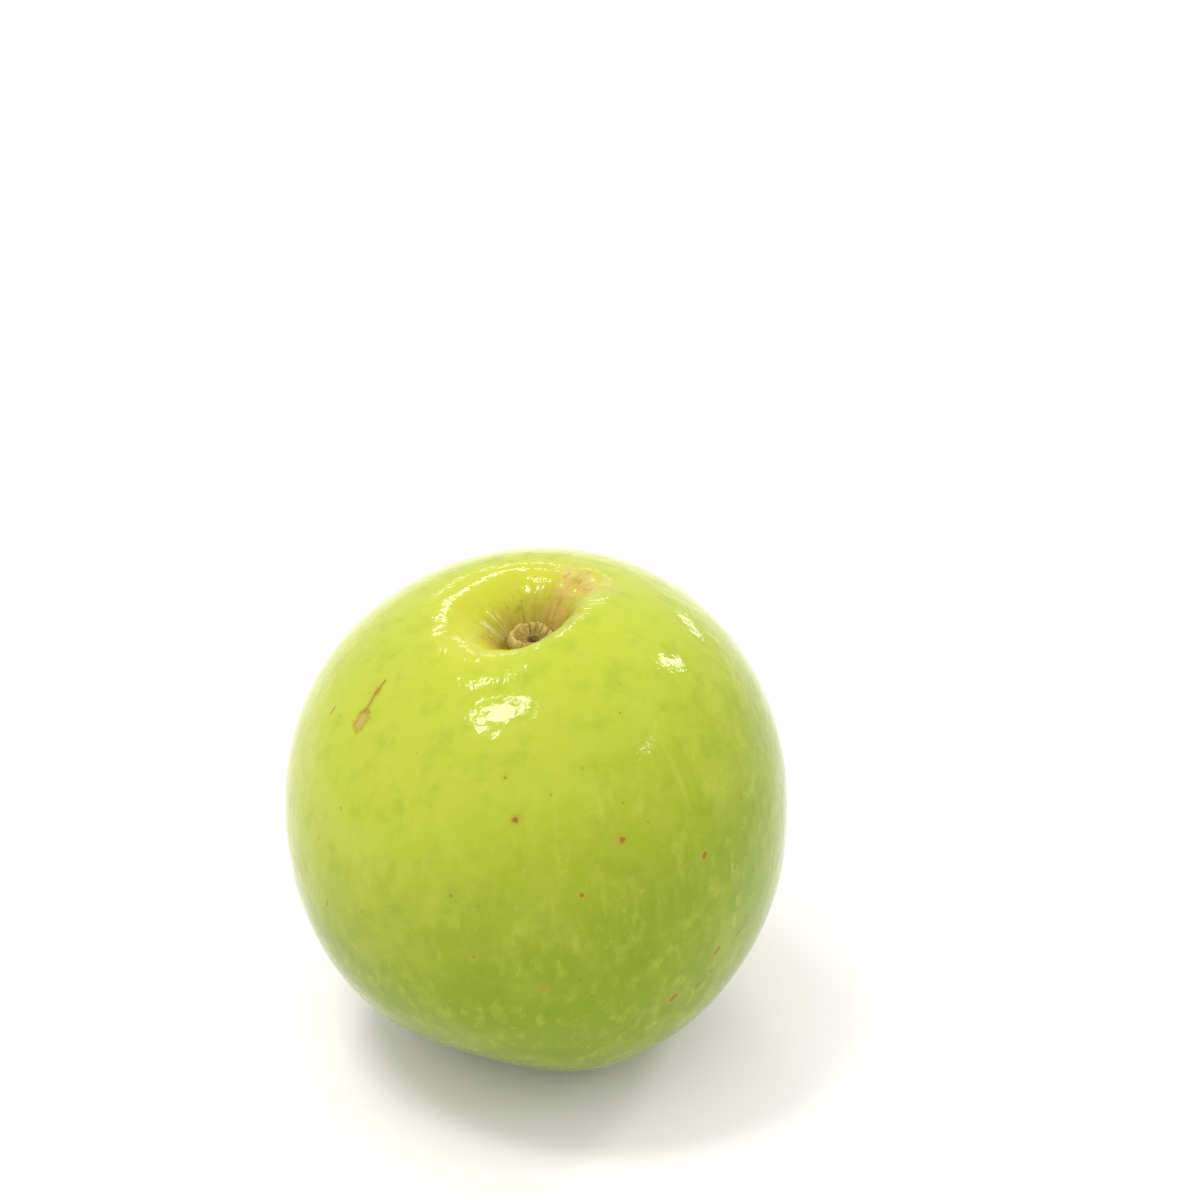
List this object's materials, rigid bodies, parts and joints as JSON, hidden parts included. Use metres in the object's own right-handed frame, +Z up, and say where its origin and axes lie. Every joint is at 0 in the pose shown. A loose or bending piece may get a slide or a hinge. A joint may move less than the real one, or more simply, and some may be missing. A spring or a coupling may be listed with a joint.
{
  "type": "taiwan jujube",
  "caption": "Picked green jujube fruit, round with a stem cavity holding a dry stalk cup, standing upright on its blossom end.",
  "frame": {"origin": "on the table, under the middle of the fruit's bounding box", "axes": "+Z up, from the blossom end to the stem end, which leans 2 degrees; -Y is the side seen in the picture"},
  "size_m": [0.0576, 0.0574, 0.0582],
  "materials": {
    "skin": null,
    "dry_cup": "dry, corky, matte tan; wood stands in for dried plant tissue"
  },
  "bodies": {
    "root": {"fruit": "skin", "stalk_cup": "dry_cup"}
  },
  "joints": []
}
